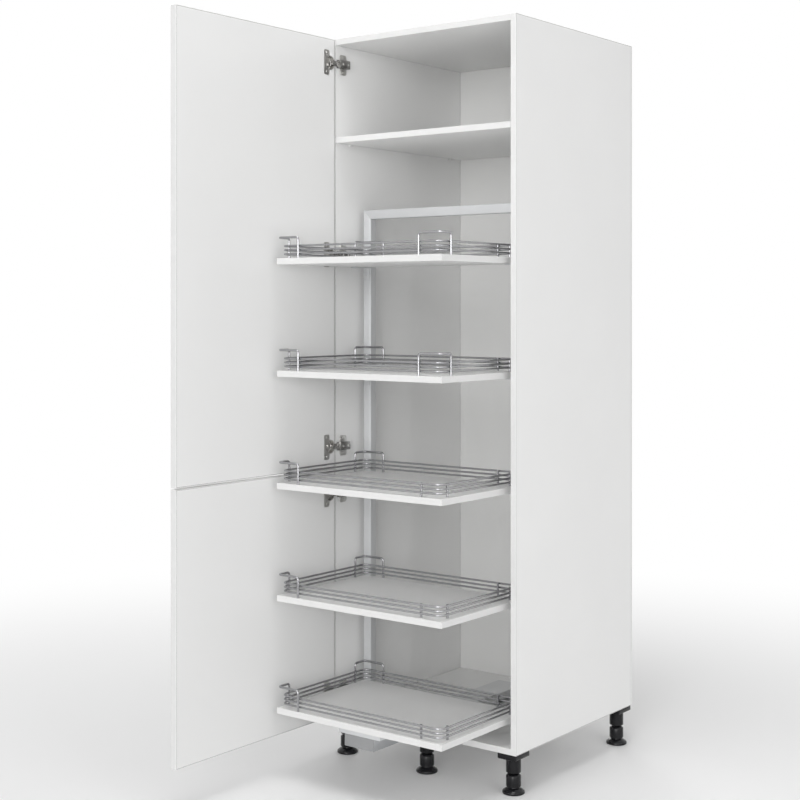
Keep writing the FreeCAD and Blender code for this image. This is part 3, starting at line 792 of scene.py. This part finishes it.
for number in trayNumbers[1:]:  # the lowest tray lies on the carrier plate
    low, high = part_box("tray_%d_board" % number)
    for x in (low.x + bracketScrews["fromSide"], high.x - bracketScrews["fromSide"]):
        spot = Vector((x, high.y - bracketScrews["fromBack"], low.z - bracketScrews["below"]))
        places.append((spot, -back))
addScrews("bracket_screws", "pullout", places, zinc)
print("screws set")

# What stays as the solids have it
keptFinishes = {
    "back_panel": hardboard, "carcass_dowels": beech, "shelf_supports": whitePlastic,
    "upper_hinge_pins": nickel, "lower_hinge_pins": nickel,
}
for node, finish in keptFinishes.items():
    nodes[node].data.materials.clear()
    nodes[node].data.materials.append(finish)
print("kept solids dressed")

# Floor, light and camera
stageLook = {"floor": 0.88, "floorSize": 30, "fadeStart": 0.9, "fadeEnd": 3.2, "worldLight": 0.41}
lampLook = {
    "key": {"place": (3.4, -7.9, 2.2), "target": (0, 0, 1.0), "size": 4.5, "power": 330.0},
    "fill": {"place": (4.8, -1.2, 2.4), "target": (0, 0.2, 0.9), "size": 2.6, "power": 28.0},
    "top": {"place": (0.3, -1.0, 5.2), "target": (0, -0.2, 0), "size": 2.8, "power": 90.0},
    "strip": {"place": (3.4, -1.9, 0.9), "target": (0.2, 0, 0.6), "size": 1.6, "width": 0.16, "power": 9.0},
    "rear": {"place": (-3.6, 4.6, 2.8), "target": (0, 0.3, 1.0), "size": 3.0, "power": 100.0},
}
cameraLook = {"place": (2.262, -3.053, 1.2257), "toward": (-0.6194, 0.784, 0.0), "focalPixels": 1452.6,
              "imagePixels": 800.0, "principal": (374.0, 306.0), "sensor": 36.0}


def seenRays(tree):  # rays that show the background itself, straight or in a reflection
    path = Shade(tree).node("ShaderNodeLightPath").socket.node
    straight, glossy, glass = (Shade(tree, path.outputs[key]) for key in
                               ("Is Camera Ray", "Is Glossy Ray", "Is Transmission Ray"))
    return straight + glossy + glass


def addFloor(look):  # pale and matt round the cabinet, fading to the white background
    shape = bmesh.new()
    bmesh.ops.create_grid(shape, x_segments=1, y_segments=1, size=look["floorSize"])
    floor = bpy.data.objects.new("floor", meshFrom("floor", shape))
    bpy.context.scene.collection.objects.link(floor)
    paint = bpy.data.materials.new("paleFloor")
    paint.use_nodes = True
    tree = paint.node_tree
    tree.nodes.remove(tree.nodes["Principled BSDF"])
    place = Shade(tree).node("ShaderNodeTexCoord", out="Object")
    away = place.node("ShaderNodeVectorMath", {"operation": "LENGTH"}, {0: place}, out="Value")
    fade = away.node("ShaderNodeMapRange", {"interpolation_type": "SMOOTHSTEP"}, {
        "Value": away, "From Min": look["fadeStart"], "From Max": look["fadeEnd"]})
    matt = place.node("ShaderNodeBsdfDiffuse", values={"Color": (*(look["floor"],) * 3, 1)})
    white = place.node("ShaderNodeEmission", values={"Color": (1, 1, 1, 1), "Strength": 1.0})
    paintMix = place.node("ShaderNodeMixShader", values={0: fade * seenRays(tree), 1: matt, 2: white})
    paintMix.feed(tree.nodes["Material Output"].inputs["Surface"], paintMix)
    floor.data.materials.append(paint)


def addWorld(look):
    world = bpy.data.worlds.new("studio")
    bpy.context.scene.world = world
    world.use_nodes = True
    background = world.node_tree.nodes["Background"]
    background.inputs["Color"].default_value = (1, 1, 1, 1)
    seen = seenRays(world.node_tree)
    seen.feed(background.inputs["Strength"], seen * (1 - look["worldLight"]) + look["worldLight"])


def addLamp(name, look):
    data = bpy.data.lights.new(name, "AREA")
    data.shape = "DISK"
    data.size = look["size"]
    if "width" in look:  # a tall narrow lamp, for highlights down round pieces
        data.shape = "RECTANGLE"
        data.size = look["width"]
        data.size_y = look["size"]
    data.energy = look["power"]
    lamp = bpy.data.objects.new(name, data)
    lamp.location = look["place"]
    aim = Vector(look["target"]) - Vector(look["place"])
    lamp.rotation_euler = aim.to_track_quat("-Z", "Y").to_euler()
    bpy.context.scene.collection.objects.link(lamp)


def addCamera(look):
    data = bpy.data.cameras.new("camera")
    data.sensor_width = look["sensor"]
    data.lens = look["focalPixels"] / look["imagePixels"] * look["sensor"]
    data.shift_x = 0.5 - look["principal"][0] / look["imagePixels"]
    data.shift_y = look["principal"][1] / look["imagePixels"] - 0.5
    camera = bpy.data.objects.new("camera", data)
    camera.location = look["place"]
    camera.rotation_euler = Vector(look["toward"]).to_track_quat("-Z", "Y").to_euler()
    bpy.context.scene.collection.objects.link(camera)
    bpy.context.scene.camera = camera


addFloor(stageLook)
addWorld(stageLook)
for name, look in lampLook.items():
    addLamp(name, look)
addCamera(cameraLook)
bpy.context.scene.view_settings.view_transform = "Standard"
print("stage set")
